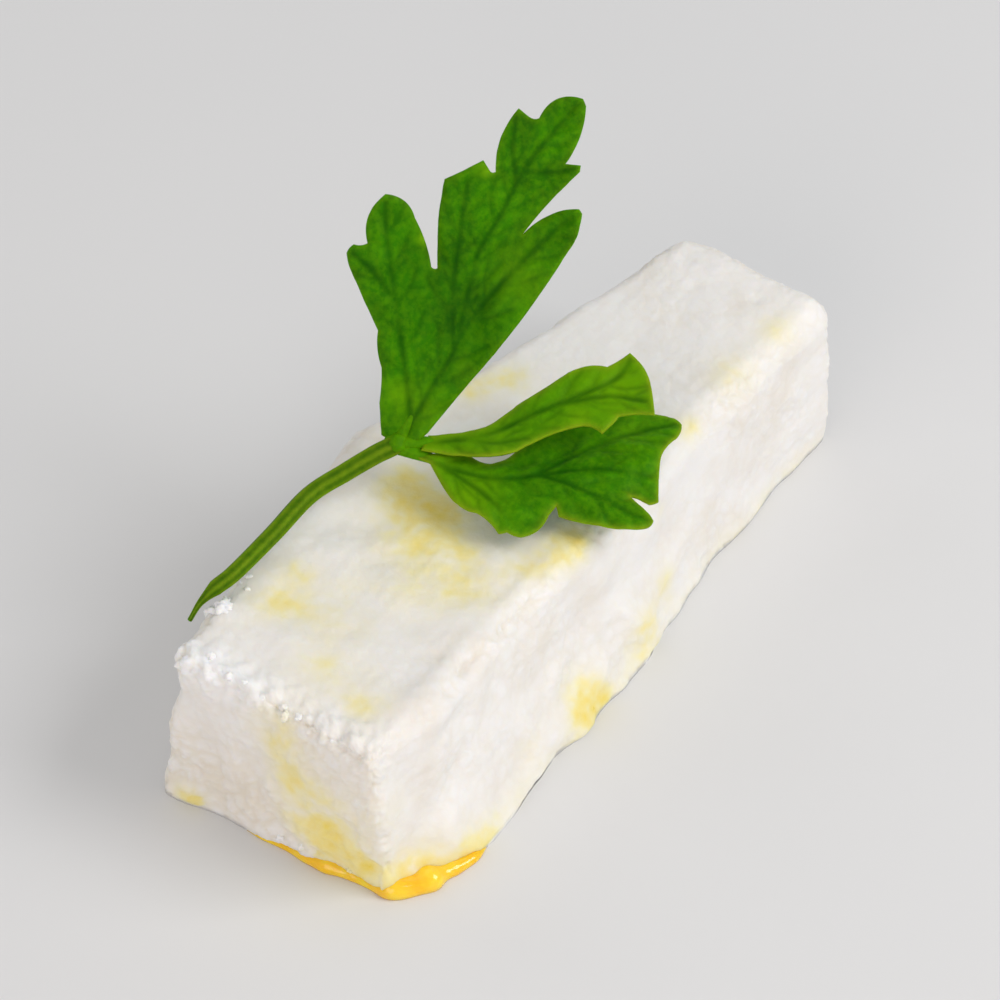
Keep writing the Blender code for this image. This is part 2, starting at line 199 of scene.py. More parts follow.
# Roughness where dry and where oily, across the oil, and across the parsley
CHEESE_ROUGHNESS = (0.58, 0.26)
OIL_ROUGHNESS = (0.06, 0.16)
PARSLEY_ROUGHNESS = (0.42, 0.60)

# Sizes of what varies in the colours, and size and depth of the finest bumps
MOTTLE_SIZE = 5.0 * MM
CURD_SPECK_SIZE = 0.9 * MM
CURD_SKIN_SIZE = 0.50 * MM
CURD_SKIN_DEPTH = 0.05 * MM
OIL_CLOUD_SIZE = 2.0 * MM
GREEN_CLOUD_SIZE = 2.6 * MM
GREEN_CELL_SIZE = 0.7 * MM
GREEN_SKIN_SIZE = 0.28 * MM
GREEN_SKIN_DEPTH = 0.03 * MM

# Where oil soaked in, and under the parsley painted olive shadow too, in millimetres: centre, radius, and
# strength from 0 to 1
STAIN_FADE = 1.6
STAINS_AND_LEAF_SHADOW = (
    ((-22.6, 6.3, 17.0), 3.4, 0.42),
    ((-18.5, 6.8, 17.0), 2.4, 0.50),
    ((-20.7, 1.7, 17.0), 5.5, 0.24),
    ((-26.4, -1.2, 17.0), 4.0, 0.34),
    ((-27.8, -6.6, 17.0), 3.0, 0.40),
    ((-13.0, -3.0, 17.0), 7.0, 0.26),
    # These three lie under the parsley: partly oil, partly painted olive shadow of the leaflets
    ((-7.3, 1.5, 17.0), 5.6, 0.74),
    ((-4.5, 5.6, 17.0), 3.2, 0.50),
    ((-10.7, -5.7, 17.0), 4.2, 0.36),
    ((-2.4, -10.4, 17.0), 2.8, 0.85),
    ((-6.5, -9.0, 17.0), 3.0, 0.45),
    ((11.0, 5.6, 17.0), 2.8, 0.50),
    ((8.0, 7.6, 17.0), 2.4, 0.46),
    ((15.3, -11.1, 17.0), 2.3, 0.52),
    ((22.6, -10.1, 17.0), 3.2, 0.34),
    ((29.6, -10.6, 17.0), 3.4, 0.32),
    ((-32.8, -0.8, 14.0), 3.2, 0.45),
    ((-32.4, -2.4, 9.8), 3.4, 0.46),
    ((-32.4, -7.5, 8.5), 6.5, 0.34),
    ((-32.2, -4.2, 4.8), 3.6, 0.70),
    ((-32.0, -8.5, 2.0), 3.4, 0.85),
    ((-32.3, 8.2, 0.9), 2.2, 0.70),
    ((-29.5, -13.5, 1.4), 3.6, 0.85),
    ((-24.0, -16.0, 1.2), 3.4, 0.72),
    ((-14.0, -14.6, 4.0), 2.6, 0.30),
    ((-6.4, -13.6, 3.4), 3.4, 0.60),
    ((-4.4, -14.4, 1.0), 3.0, 0.66),
    ((3.5, -13.8, 3.2), 3.2, 0.55),
    ((8.4, -13.0, 4.6), 2.6, 0.42),
    ((9.0, -11.8, 12.0), 1.8, 0.26),
    ((-16.0, 12.6, 3.0), 4.0, 0.40),
    ((-21.0, 12.0, 9.0), 4.5, 0.18),
    ((10.0, 10.4, 6.0), 3.6, 0.24),
    ((24.0, 7.0, 1.5), 3.0, 0.34),
)
STAIN_MIDDLE = 0.85
STAIN_BREAK_SIZE = 2.6 * MM
STAIN_BREAK = 0.40
STAIN_SPECK_SIZE = 0.9 * MM
STAIN_SPECK = 0.25
TOP_FILM = 0.06
FOOT_FILM = 0.34
FOOT_FILM_HEIGHT = 3.2 * MM
FRONT_FACING = -0.2

# The stem's middle line in millimetres, from the cut end behind the block to the fork
STEM_LINE = (
    (-26.3, 12.4, 14.6),
    (-25.7, 11.7, 16.5),
    (-24.6, 10.9, 17.8),
    (-22.8, 10.2, 18.5),
    (-17.6, 10.0, 18.9),
    (-12.4, 9.9, 19.4),
    (-9.0, 8.5, 20.2),
    (-6.6, 7.2, 21.0),
    (-4.9, 6.2, 21.5),
    (-4.2, 6.0, 22.3),
)
STEM_RADII = (0.62 * MM, 0.92 * MM)
# Over what share of a stalk each tip narrows, the share of its radius that is left there, and
# how it narrows: below 1 blunt, above 1 to a thin tail
STEM_TIPS = ((0.22, 0.34, 2.5), (0.08, 0.35, 0.5))
STEM_SIDES = 36
STEM_STEPS = 10
STEM_RIDGES = 6
RIDGE_SHARE = 0.07
GROOVE_DARKNESS = 0.55
RIDGE_PALENESS = 0.22
STEM_PALENESS = 0.19
RIB_RADII = (0.72 * MM, 0.20 * MM)
RIB_TIPS = ((0.02, 0.90, 0.5), (0.80, 0.20, 0.5))
RIB_LENGTH = 8.0 * MM
RIB_DROP = 0.8 * MM
RIB_STEPS = 24

# The knot where stem and leaflets meet, in millimetres, and how pale it and the ribs are
KNOT_PLACE = (-4.7, 6.15, 21.6)
KNOT_SIZE = (1.15, 1.05, 1.0)
KNOT_LUMPS = 1.5
KNOT_ROUGHNESS = 0.18
KNOT_PALENESS = 0.38
KNOT_DETAIL = 4

# The leaflets' sheets: their lattice stays clear of the edge by a share of its step, the edge
# is measured in finer steps, and the triangles kept are those inside it
LEAF_THICKNESS = 0.36 * MM
LEAF_STEP = 0.20 * MM
LEAF_MARGIN = 0.55
EDGE_FINENESS = 3
SLOPE_STEP = 0.05 * MM
KEEP_INSIDE = 1
SAME_PLACE = 1e-8
FORK = (-4.9, 6.2, 21.4)

# Leaflet outlines in millimetres, drawn anticlockwise: across and along the midrib, and how
# far the edge bows out on its way to the next corner, as a share of that way
UPRIGHT_OUTLINE = (
    (1.2, 0.7, 0.00), (1.9, 2.4, 0.00), (4.0, 12.6, 0.02), (5.2, 22.1, 0.08), (4.8, 25.6, 0.00),
    (4.4, 25.8, 0.06), (2.5, 24.0, 0.05), (1.2, 21.4, -0.02), (3.0, 28.5, 0.00), (2.8, 29.0, 0.00),
    (1.6, 28.4, 0.08), (0.9, 33.4, 0.00), (0.4, 33.8, 0.22), (-2.1, 30.7, -0.15), (-2.9, 30.4, 0.00),
    (-4.0, 30.6, 0.10), (-3.2, 25.1, -0.20), (-3.7, 25.0, 0.00), (-4.6, 25.6, 0.00), (-6.7, 22.8, 0.03),
    (-3.8, 15.5, -0.25), (-4.3, 15.3, 0.04), (-7.4, 18.5, 0.16), (-10.5, 19.4, 0.16), (-9.9, 15.1, -0.10),
    (-10.9, 14.5, 0.10), (-11.1, 13.6, 0.06), (-9.3, 11.7, 0.00), (-5.8, 8.7, 0.06), (-4.1, 5.9, -0.02),
    (-2.9, 2.9, 0.00), (-1.5, 0.3, 0.05),
)
RAISED_OUTLINE = (
    (0.9, 2.2, 0.02), (1.7, 5.8, 0.04), (2.2, 8.2, 0.05), (1.8, 10.4, -0.06), (-0.5, 16.0, -0.10),
    (0.4, 17.6, 0.04), (-1.2, 19.0, -0.03), (-1.1, 22.1, 0.02), (-4.2, 21.7, 0.10), (-7.2, 20.0, -0.02),
    (-5.9, 18.1, 0.08), (-5.3, 14.8, -0.02), (-2.7, 10.3, -0.04), (-0.9, 7.7, -0.04), (-0.5, 2.8, 0.00),
)
LYING_OUTLINE = (
    (0.4, 1.6, 0.00), (0.7, 3.4, 0.02), (3.3, 6.5, 0.06), (4.0, 8.9, -0.06), (4.9, 11.2, 0.05),
    (4.5, 11.8, 0.05), (4.4, 13.0, 0.14), (1.7, 14.5, 0.00), (0.7, 14.8, 0.00), (1.5, 15.3, 0.02),
    (0.9, 18.8, 0.05), (-0.2, 22.1, 0.15), (-1.4, 22.7, 0.05), (-2.9, 20.0, -0.10), (-3.0, 21.7, 0.05),
    (-3.6, 22.3, -0.02), (-7.4, 21.1, -0.08), (-10.0, 21.5, 0.08), (-11.7, 21.4, 0.12), (-12.2, 19.5, 0.00),
    (-11.2, 15.2, 0.05), (-7.1, 11.5, 0.05), (-3.4, 9.6, -0.10), (-1.2, 8.2, -0.12), (-1.3, 6.1, 0.00),
)

# Main veins of each leaflet in millimetres, from the base to the tips of its lobes
UPRIGHT_VEINS = (
    ((0.3, 0.8), (0.4, 6.2), (0.6, 10.2), (-0.6, 14.8), (-1.4, 18.5), (-1.2, 22.3), (-1.2, 26.5),
     (0.1, 33.1)),
    ((0.4, 11.0), (1.5, 16.7), (2.8, 21.1), (4.2, 25.0)),
    ((0.6, 9.8), (-1.7, 14.2), (-3.4, 19.1), (-4.9, 23.5)),
    ((0.2, 2.6), (-3.2, 7.9), (-6.4, 12.6), (-8.9, 16.3), (-10.2, 18.8)),
    ((-5.7, 11.6), (-8.6, 13.2), (-10.6, 13.8)),
    ((-1.3, 25.1), (-2.9, 27.3), (-3.8, 29.8)),
    ((-1.0, 26.2), (1.1, 27.3), (2.5, 28.5)),
)
RAISED_VEINS = (
    ((0.3, 2.8), (0.0, 7.5), (-1.6, 11.5), (-3.2, 15.5), (-4.9, 18.8), (-6.6, 20.0)),
    ((-2.7, 14.5), (-3.2, 18.4), (-2.3, 21.4)),
    ((0.1, 6.0), (0.9, 8.6), (0.6, 11.4)),
)
LYING_VEINS = (
    ((0.4, 2.0), (0.6, 5.5), (0.2, 9.1), (-1.3, 12.1), (-3.7, 16.0), (-5.5, 20.9)),
    ((-1.3, 12.1), (-5.8, 15.2), (-9.2, 18.1), (-11.5, 20.8)),
    ((-1.6, 12.8), (-1.6, 17.2), (-1.2, 22.2)),
    ((0.6, 4.6), (1.7, 8.0), (3.6, 11.9)),
)

# How each leaflet stands, as in the part, and how pale it is: all over, along its rim, and in
# spots given as across, along and radius in millimetres and strength; shades are deeper green
LEAFLETS = (
    dict(outline=UPRIGHT_OUTLINE, veins=UPRIGHT_VEINS, heading=-18, climb=56, roll=-37, lift=-0.1,
         length=34.0, droop=3.0, fold=0.16, ripple=0.5, wave=15.0, phase=0.6, pale=0.08, rim=0.15,
         spots=((0.8, 4.0, 2.2, 0.35), (-1.8, 4.5, 1.2, 0.45), (-6.0, 17.2, 0.5, 0.9),
                (2.6, 18.0, 2.5, 0.35), (2.0, 9.0, 1.0, 0.3), (-4.1, 25.0, 0.6, 0.8)),
         shades=((-0.6, 13.5, 5.0, 0.42), (-6.5, 14.5, 2.5, 0.15))),
    dict(outline=RAISED_OUTLINE, veins=RAISED_VEINS, heading=-59, climb=9, roll=-15, lift=0.2,
         length=23.0, droop=0.6, fold=0.10, ripple=0.4, wave=11.0, phase=2.0, pale=0.42, rim=0.75,
         spots=((-4.0, 19.0, 3.0, 0.45), (0.4, 8.5, 2.2, 0.25), (0.2, 3.0, 1.6, 0.4),
                (-1.0, 15.5, 0.9, 0.5)),
         shades=((-1.5, 9.5, 2.5, 0.20),)),
    dict(outline=LYING_OUTLINE, veins=LYING_VEINS, heading=-77, climb=-2, roll=-13, lift=-0.1,
         length=24.0, droop=2.4, fold=-0.10, ripple=0.4, wave=12.0, phase=1.0, pale=0.12, rim=0.70,
         spots=((2.6, 7.6, 2.6, 0.80), (0.3, 3.4, 1.6, 0.60), (-9.0, 18.0, 2.4, 0.25)),
         shades=((-2.5, 12.5, 3.5, 0.25),)),
)
RIPPLE_START = 4.0 * MM
RIPPLE_SLANT = 500.0
FOLD_WIDTH = 1.0 * MM

# Veins in three orders: half width and strength of each, how they come and go, how deep they
# sink, and how far the leaf puffs up between them
MAIN_VEIN = 0
SIDE_VEIN = 1
TWIG = 2
VEIN_WIDTHS = (0.30 * MM, 0.22 * MM, 0.16 * MM)
VEIN_DEPTHS = (0.80, 0.42, 0.22)
VEIN_STEPS = 6
VEIN_SHOWING = 0.85
VEIN_FADE_SIZE = 2.4 * MM
VEIN_FADE = 0.9
VEIN_SINK = 0.10 * MM
PUFF_HEIGHT = 0.20 * MM
PUFF_WIDTH = 0.85 * MM
SIDE_VEIN_GAP = 2.3 * MM
SIDE_VEIN_LENGTH = 3.8 * MM
SIDE_VEIN_ANGLE = math.radians(42.0)
SIDE_VEIN_BEND = 0.25
TWIG_PLACES = (0.45, 0.75)
TWIG_LENGTH = 1.5 * MM
TWIG_ANGLE = math.radians(48.0)
WRINKLE_SIZE = 1.9 * MM
WRINKLE_DEPTH = 0.12 * MM
RIM_WIDTH = 0.22 * MM
RIM_THINNING = 0.45

# Oil along the foot of the broad end and round its front corner, in millimetres:
# place on the ground, and the bead's half width there
OIL_BEAD = (
    ((-32.2, 2.6), 0.12),
    ((-32.1, 0.8), 0.40),
    ((-32.0, -1.4), 0.40),
    ((-31.9, -3.4), 0.80),
    ((-31.8, -5.4), 0.95),
    ((-31.6, -7.4), 0.65),
    ((-31.5, -9.5), 0.75),
    ((-30.9, -11.7), 1.20),
    ((-29.5, -13.0), 1.30),
    ((-27.3, -13.9), 0.95),
    ((-25.3, -14.7), 0.55),
    ((-23.8, -15.0), 0.45),
    ((-22.0, -14.9), 0.15),
)
BEAD_HEIGHT = 0.90
BEAD_RISE = 0.35
BEAD_STEPS = 8
BEAD_SIDES = 20
BEAD_WOBBLE = 0.45
BEAD_WOBBLE_SIZE = 2.0 * MM

# Crumbs: zones in millimetres with centre, half size, how many, and their largest radius
CRUMB_SEED = 11
CRUMB_ZONES = (
    ((-31.8, 2.0, 16.8), (1.2, 8.5, 1.0), 9, 0.50),
    ((-24.4, 10.4, 17.2), (1.5, 0.8, 0.5), 6, 0.85),
    ((-24.0, 9.6, 16.8), (6.0, 1.6, 1.0), 5, 0.45),
    ((-32.4, -3.0, 1.2), (0.6, 7.0, 0.8), 7, 0.45),
)
CRUMB_SMALLEST = 0.18
CRUMB_RARITY = 1.6
CRUMB_SINK = 0.45
CRUMB_DETAIL = 3
CRUMB_STRETCH = (0.75, 1.30)
CRUMB_LUMPS = 1.3
CRUMB_LUMP_DEPTH = 0.50
CRUMB_CRAGS = 3.1
CRUMB_CRAG_DEPTH = 0.28
CRUMB_VARIETY = 50.0

# The camera stands where the photograph was taken from
CAMERA_PLACE = (-354.78, -243.16, 426.86)
CAMERA_AIM = (2.96, 0.88, 11.57)
SENSOR = 36.0
CAMERA_DISTANCE = 600.0
FRAME_WIDTH = 86.0
CLIP_START = 0.01

FLOOR_SIZE = 4.0
FLOOR_GREYS = ((0.71, 0.715, 0.72), (0.73, 0.735, 0.74))
FLOOR_CLOUD_SIZE = 0.05
FLOOR_ROUGHNESS = 0.7
WORLD_COLOUR = (1.0, 1.0, 1.0, 1.0)
WORLD_STRENGTH = 0.50
# Lights: name, direction they come from, distance and size in metres, power, colour
LIGHTS = (
    ("key", (0.30, -0.74, 0.75), 0.55, 0.30, 1.50, (1.0, 0.985, 0.98)),
    ("front", (-0.15, -0.95, 0.30), 0.70, 0.50, 0.20, (1.0, 0.985, 0.97)),
    ("fill", (-0.9, -0.2, 0.4), 0.70, 0.50, 1.5, (1.0, 0.87, 0.80)),
    ("back", (0.1, 0.9, 0.7), 0.70, 0.40, 0.4, (0.97, 0.98, 1.0)),
)


def between(low, high, share):
    """Straight blend from low to high."""
    return low + (high - low) * share


def held(value, least=0.0, most=1.0):
    """A value held between two limits."""
    return min(most, max(least, value))


def add_object(name, points, faces, material, values=None):
    """An object from points in metres and faces; a named value is one number, or one a point."""
    mesh = bpy.data.meshes.new(name)
    mesh.from_pydata([tuple(point) for point in points], [], faces)
    mesh.materials.append(material)
    mesh.shade_smooth()
    for key, numbers in (values or {}).items():
        layer = mesh.attributes.new(key, "FLOAT", "POINT")
        layer.data.foreach_set("value", np.full(len(points), numbers, dtype=np.float32))
    mesh.update()
    piece = bpy.data.objects.new(name, mesh)
    bpy.context.scene.collection.objects.link(piece)
    return piece


def dress(piece, node=None):
    """Puts a piece on the part: its body, and the node it stands for."""
    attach(piece, "root")
    if node:
        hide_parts(node)


def new_material(name):
    """A Principled material, its node tree and its shader."""
    material = bpy.data.materials.new(name)
    material.use_nodes = True
    tree = material.node_tree
    return material, tree, tree.nodes["Principled BSDF"]


def set_values(shader, values):
    """Sets constant values on a shader's own sockets."""
    for name, value in values.items():
        shader.inputs[name].default_value = value


def stored(tree, name):
    """The value that a mesh holds under a name."""
    node = tree.nodes.new("ShaderNodeAttribute")
    node.attribute_name = name
    return node.outputs["Fac"]


def speckle(tree, size, detail=3.0, roughness=0.55):
    """Noise between 0 and 1, with shapes of a size in metres."""
    place = tree.nodes.new("ShaderNodeTexCoord")
    scaled = tree.nodes.new("ShaderNodeMapping")
    scaled.inputs["Scale"].default_value = [1.0 / size] * 3
    texture = tree.nodes.new("ShaderNodeTexNoise")
    texture.inputs["Scale"].default_value = 1.0
    texture.inputs["Detail"].default_value = detail
    texture.inputs["Roughness"].default_value = roughness
    tree.links.new(place.outputs["Object"], scaled.inputs["Vector"])
    tree.links.new(scaled.outputs["Vector"], texture.inputs["Vector"])
    return texture.outputs["Fac"]


def ramp(tree, value, stops):
    """A colour read from a value by stops of place and colour."""
    node = tree.nodes.new("ShaderNodeValToRGB")
    elements = node.color_ramp.elements
    while len(elements) < len(stops):
        elements.new(1.0)
    for element, (place, colour) in zip(elements, stops):
        element.position = place
        element.color = (*colour, 1.0)
    tree.links.new(value, node.inputs["Fac"])
    return node.outputs["Color"]


def feed(tree, socket, value):
    """Gives a socket its value: an output, a number, or the three numbers of a colour."""
    if isinstance(value, tuple):
        socket.default_value = (*value, 1.0)
    elif isinstance(value, float):
        socket.default_value = value
    else:
        tree.links.new(value, socket)


def mix(tree, share, first, second):
    """Two colours mixed by a share; they go in at the node's sockets 6 and 7 and come out at 2."""
    node = tree.nodes.new("ShaderNodeMix")
    node.data_type = "RGBA"
    feed(tree, node.inputs[0], share)
    feed(tree, node.inputs[6], first)
    feed(tree, node.inputs[7], second)
    return node.outputs[2]


def product(tree, first, second):
    """Two values multiplied, and held between 0 and 1."""
    node = tree.nodes.new("ShaderNodeMath")
    node.operation = "MULTIPLY"
    node.use_clamp = True
    feed(tree, node.inputs[0], first)
    feed(tree, node.inputs[1], second)
    return node.outputs[0]


def spread(tree, value, low, high):
    """A value between 0 and 1 carried to the range from low to high."""
    node = tree.nodes.new("ShaderNodeMapRange")
    node.inputs["To Min"].default_value = low
    node.inputs["To Max"].default_value = high
    tree.links.new(value, node.inputs["Value"])
    return node.outputs["Result"]


def bump(tree, shader, height, distance):
    """Fine bumps on a shader, from a height between 0 and 1 and a depth in metres."""
    node = tree.nodes.new("ShaderNodeBump")
    node.inputs["Distance"].default_value = distance
    tree.links.new(height, node.inputs["Height"])
    tree.links.new(node.outputs["Normal"], shader.inputs["Normal"])


def cheese_material(name, glow_depth):
    """White curd: painted highlight whiter on the crest and the crumbs, darker cream in its creases that is
    partly painted shade, yellow and glossier where oil soaked in, and painted olive shadow under the
    parsley.
    """
    material, tree, shader = new_material(name)
    mottle = speckle(tree, MOTTLE_SIZE, detail=4.0)
    body = ramp(tree, mottle, ((0.32, CREAM_CURD), (0.56, WHITE_CURD)))
    # Painted highlight: whiter, cooler curd where the mesh holds it
    body = mix(tree, stored(tree, "painted_highlight"), body, PAINTED_HIGHLIGHT_CURD)
    # Creases darker cream: partly liquid in them, partly painted shade
    body = mix(tree, product(tree, stored(tree, "crease"), CREASE_SHARE), body, CREASE_SHADE_CREAM)
    broken = spread(tree, speckle(tree, CURD_SPECK_SIZE, detail=4.0), *OIL_BREAKUP)
    # The oil value also carries the painted olive shadow under the parsley
    oil = product(tree, stored(tree, "oil"), broken)
    wet = ramp(tree, oil, ((0.0, FILMED_CURD), (0.45, OILY_CURD), (1.0, SOAKED_CURD)))
    share = ramp(tree, oil, ((0.02, (0.0, 0.0, 0.0)), (0.55, (1.0, 1.0, 1.0))))
    tree.links.new(mix(tree, share, body, wet), shader.inputs["Base Color"])
    tree.links.new(spread(tree, oil, *CHEESE_ROUGHNESS), shader.inputs["Roughness"])
    skin = speckle(tree, CURD_SKIN_SIZE, detail=6.0, roughness=0.68)
    bump(tree, shader, skin, CURD_SKIN_DEPTH)
    set_values(shader, {"Subsurface Weight": CHEESE_GLOW, "Subsurface Scale": glow_depth,
                        "Subsurface Radius": (1.0, 0.80, 0.55), "Specular IOR Level": 0.35})
    return material


def oil_material():
    """Golden oil, deep yellow where it stands thick."""
    material, tree, shader = new_material("Oil looks")
    depth = speckle(tree, OIL_CLOUD_SIZE, detail=2.0)
    tint = ramp(tree, depth, ((0.35, THICK_OIL), (0.65, THIN_OIL)))
    tree.links.new(tint, shader.inputs["Base Color"])
    tree.links.new(spread(tree, depth, *OIL_ROUGHNESS), shader.inputs["Roughness"])
    set_values(shader, {"IOR": 1.47, "Subsurface Weight": 0.35, "Subsurface Scale": 1.0 * MM,
                        "Subsurface Radius": (1.0, 0.60, 0.10), "Coat Weight": 0.5, "Coat Roughness": 0.04})
    return material


def parsley_material(name, deep, fresh, pale):
    """Parsley green: deep along the veins, fresher between them, pale in spots, thin bright rim."""
    material, tree, shader = new_material(name)
    middle = tuple(0.5 * (low_part + high_part) for low_part, high_part in zip(deep, fresh))
    cloud = speckle(tree, GREEN_CLOUD_SIZE, detail=4.0)
    body = ramp(tree, cloud, ((0.36, middle), (0.60, fresh)))
    cells = speckle(tree, GREEN_CELL_SIZE, detail=4.0, roughness=0.65)
    body = mix(tree, CELL_SHARE, body, ramp(tree, cells, ((0.40, deep), (0.60, pale))))
    body = mix(tree, stored(tree, "pale"), body, pale)
    body = mix(tree, product(tree, stored(tree, "vein"), VEIN_SHARE), body, deep)
    body = mix(tree, stored(tree, "rim"), body, RIM_GREEN)
    tree.links.new(body, shader.inputs["Base Color"])
    tree.links.new(spread(tree, cells, *PARSLEY_ROUGHNESS), shader.inputs["Roughness"])
    bump(tree, shader, speckle(tree, GREEN_SKIN_SIZE), GREEN_SKIN_DEPTH)
    set_values(shader, {"Specular IOR Level": 0.04, "Subsurface Weight": 0.45,
                        "Subsurface Scale": 0.5 * MM, "Subsurface Radius": (0.4, 1.0, 0.1)})
    return material


def floor_material():
    """Plain pale floor."""
    material, tree, shader = new_material("Floor")
    cloud = speckle(tree, FLOOR_CLOUD_SIZE, detail=2.0)
    tint = ramp(tree, cloud, ((0.0, FLOOR_GREYS[0]), (1.0, FLOOR_GREYS[1])))
    tree.links.new(tint, shader.inputs["Base Color"])
    set_values(shader, {"Roughness": FLOOR_ROUGHNESS})
    return material


def box_shell(counts):
    """Grid corners and outward faces of a box with this many cells each way."""
    corners = {}
    faces = []
    for axis in range(3):
        first = (axis + 1) % 3
        second = (axis + 2) % 3
        for side in (0, counts[axis]):
            for i in range(counts[first]):
                for j in range(counts[second]):
                    face = []
                    for step_i, step_j in ((0, 0), (1, 0), (1, 1), (0, 1)):
                        corner = [0, 0, 0]
                        corner[axis] = side
                        corner[first] = i + step_i
                        corner[second] = j + step_j
                        face.append(corners.setdefault(tuple(corner), len(corners)))
                    faces.append(face if side else face[::-1])
    return np.array(list(corners), dtype=float), faces


def rounded(points):
    """Rounds the edges of the plain box, and says how near an edge each point is."""
    height = np.clip(points[:, 2] / BLOCK_HEIGHT, 0.0, 1.0)
    crest = between(CREST_RADIUS, WORN_RADIUS, points[:, 0] / BLOCK_LENGTH + 0.5)
    radius = between(FOOT_RADIUS, crest, height)
    core = points.copy()
    core[:, 0] = np.clip(points[:, 0], radius - BLOCK_LENGTH / 2, BLOCK_LENGTH / 2 - radius)
    core[:, 1] = np.clip(points[:, 1], radius - BLOCK_WIDTH / 2, BLOCK_WIDTH / 2 - radius)
    core[:, 2] = np.clip(points[:, 2], FOOT_RADIUS, BLOCK_HEIGHT - crest)
    out = points - core
    reach = np.linalg.norm(out, axis=1)
    ordered = np.sort(np.abs(out), axis=1)
    edge = ordered[:, 1] / ordered[:, 2]
    return core + out * (radius / reach)[:, None], edge


def plan_width(x, column):
    """One column of the plan in metres, smoothed by weights of 1, 2 and 1."""
    table = np.array(PLAN) * MM
    total = 2.0 * np.interp(x, table[:, 0], table[:, column])
    for shift in (-PLAN_SMOOTHING, PLAN_SMOOTHING):
        total = total + np.interp(x + shift, table[:, 0], table[:, column])
    return total / 4.0


def drawn_out(points):
    """Moves points of the plain box to the block's own plan."""
    height = points[:, 2] / BLOCK_HEIGHT
    depth = points[:, 1] / BLOCK_WIDTH + 0.5
    ends = []
    for foot, top in (np.array(BROAD_END) * MM, np.array(NARROW_END) * MM):
        ends.append(between(between(foot[0], foot[1], depth), between(top[0], top[1], depth), height))
    x = between(ends[0], ends[1], points[:, 0] / BLOCK_LENGTH + 0.5)
    spread_share = np.clip(1.0 - height, 0.0, 1.0) ** FOOT_SPREAD
    back = between(plan_width(x, 1), plan_width(x, 3), spread_share)
    front = between(plan_width(x, 2), plan_width(x, 4), spread_share)
    return np.column_stack([x, between(front, back, depth), points[:, 2]])


def relief(point, edge):
    """How far the broken surface stands out at a point, in metres."""
    spot = Vector(point)
    out = LUMP_DEPTH * noise.noise(spot / LUMP_SIZE)
    top = held(1.0 - (BLOCK_HEIGHT - spot.z) / TOP_FADE)
    curd = between(1.0, TOP_CURD_SHARE, top)
    out += curd * CURD_DEPTH * noise.noise(spot / CURD_SIZE + CURD_SHIFT)
    chip = noise.noise(spot / CHIP_SIZE + CHIP_SHIFT)
    out -= CHIP_DEPTH * edge * max(0.0, chip - CHIP_START)
    low = max(0.0, 1.0 - spot.z / FOOT_CRAG_REACH)
    if spot.y < -BLOCK_WIDTH / 2:
        out += FOOT_CRAG_DEPTH * low * noise.noise(spot / FOOT_CRAG_SIZE + CRAG_SHIFT)
    calm = held((spot.x - CALM_START) / CALM_LENGTH)
    out *= between(1.0, CALM_SHARE, calm)
    for centre, radius, move in MARKS:
        away = (spot - Vector(centre) * MM).length / (radius * MM)
        out += move * MM * math.exp(-MARK_FADE * away * away)
    return max(out, -DEEPEST)


def vertex_normals(points, faces):
    """Outward direction at each point of a closed mesh of four-sided faces."""
    normals = np.zeros_like(points)
    corners = np.array(faces)
    across = points[corners[:, 2]] - points[corners[:, 0]]
    along = points[corners[:, 3]] - points[corners[:, 1]]
    for column in range(4):
        np.add.at(normals, corners[:, column], np.cross(across, along))
    return normals / np.linalg.norm(normals, axis=1)[:, None]


def crease_at(spot, size):
    """How deep in the crease between two curds a spot lies, from 0 to 1."""
    nearest = noise.voronoi(spot / size)[0]
    return max(0.0, 1.0 - (nearest[1] - nearest[0]) / CREASE_WIDTH)


def crumble_at(spot, normal, edge):
    """How crumbly the cheese is at a spot: by the side it lies on, near an edge, and in patches."""
    end, front, top = np.abs(normal)
    crumble = end * SIDE_CRUMBLE["end"] + front * SIDE_CRUMBLE["front"] + top * SIDE_CRUMBLE["top"]
    crumble = crumble / (end + front + top) + EDGE_CRUMBLE * edge
    patch = PATCH_MIDDLE + PATCH_SWING * noise.noise(spot / PATCH_SIZE + CURD_SHIFT)
    return crumble * held(patch, *PATCH_RANGE)


def pit_at(spot):
    """How deep in a pit a spot lies, from 0 to 1; only some cells of the cheese hold a pit."""
    away, centres = noise.voronoi(spot / PIT_SIZE + CHIP_SHIFT)
    if noise.cell(centres[0] * PIT_DRAW) <= PIT_RARITY:
        return 0.0
    hole = max(0.0, 1.0 - away[0] / PIT_REACH)
    return hole * hole * (3.0 - 2.0 * hole)


def knife_mark(spot, normal):
    """How far the knife's streaks stand out, in metres: along the block, and across its ends."""
    end, front, top = np.abs(normal)
    if end > max(front, top):
        streak = Vector((spot.x / KNIFE_WIDTH, spot.y / KNIFE_LENGTH, spot.z / KNIFE_WIDTH))
    else:
        streak = Vector((spot.x / KNIFE_LENGTH, spot.y / KNIFE_WIDTH, spot.z / KNIFE_WIDTH))
    return between(CUT_DEPTH, KNIFE_DEPTH, end) * noise.noise(streak)


